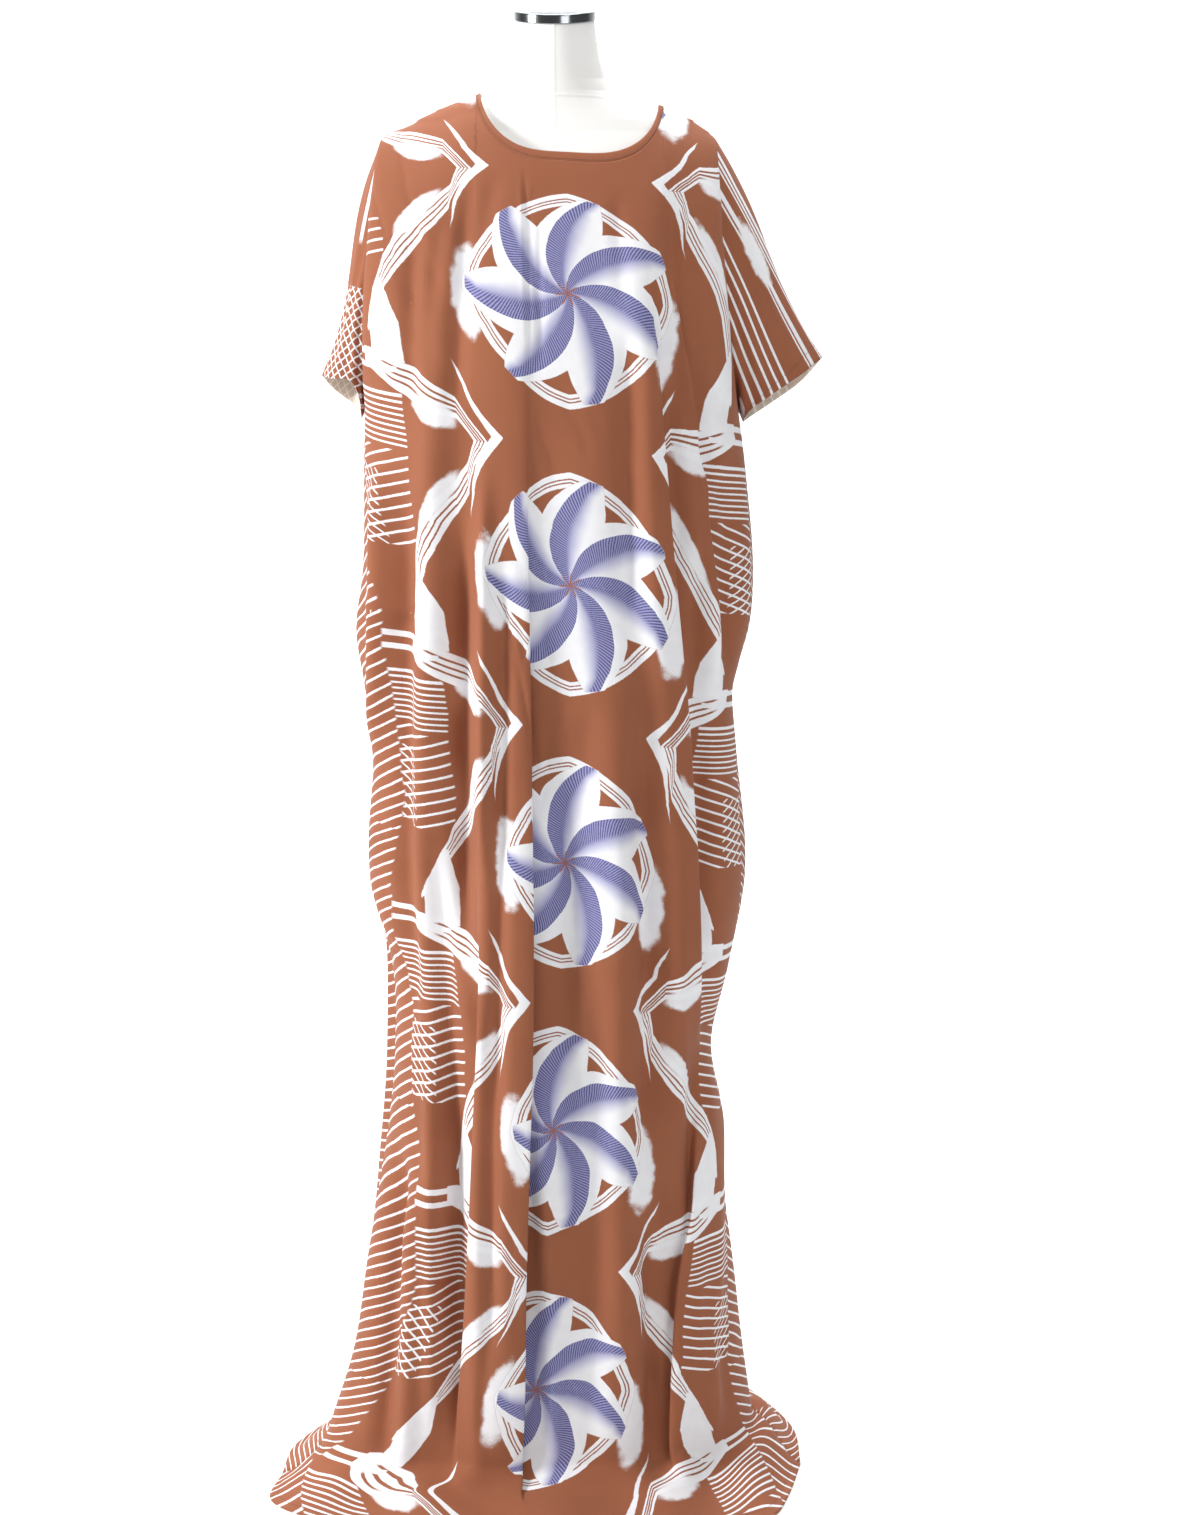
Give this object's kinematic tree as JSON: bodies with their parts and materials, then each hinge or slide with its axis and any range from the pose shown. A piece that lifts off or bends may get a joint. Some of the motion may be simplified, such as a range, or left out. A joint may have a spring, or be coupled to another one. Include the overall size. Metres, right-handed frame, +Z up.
{
  "type": "bati dress on a limbless dress form",
  "caption": "Full-length printed bati dress with a round neck and short grown-on sleeves, its hem spread on the floor, on a smooth limbless dress form with a pole and a round base.",
  "frame": {"origin": "middle of the base's underside, on the floor", "axes": "+Z up, +X to the right as seen from the front, +Y towards the back of the dress, -Y towards the viewer"},
  "size_m": [0.6167, 0.434, 1.6379],
  "materials": {
    "printed_cloth": "matte printed viscose",
    "neck_edge": "matte printed viscose, hemmed",
    "form_cloth": "matte white jersey",
    "chrome": "polished",
    "stand": "satin"
  },
  "bodies": {
    "root": {"front": "printed_cloth", "back": "printed_cloth", "left_sleeve": "printed_cloth", "right_sleeve": "printed_cloth", "neck_binding": "neck_edge", "form_torso": "form_cloth", "neck_cap": "chrome", "pole": "stand", "base": "stand"}
  },
  "joints": []
}
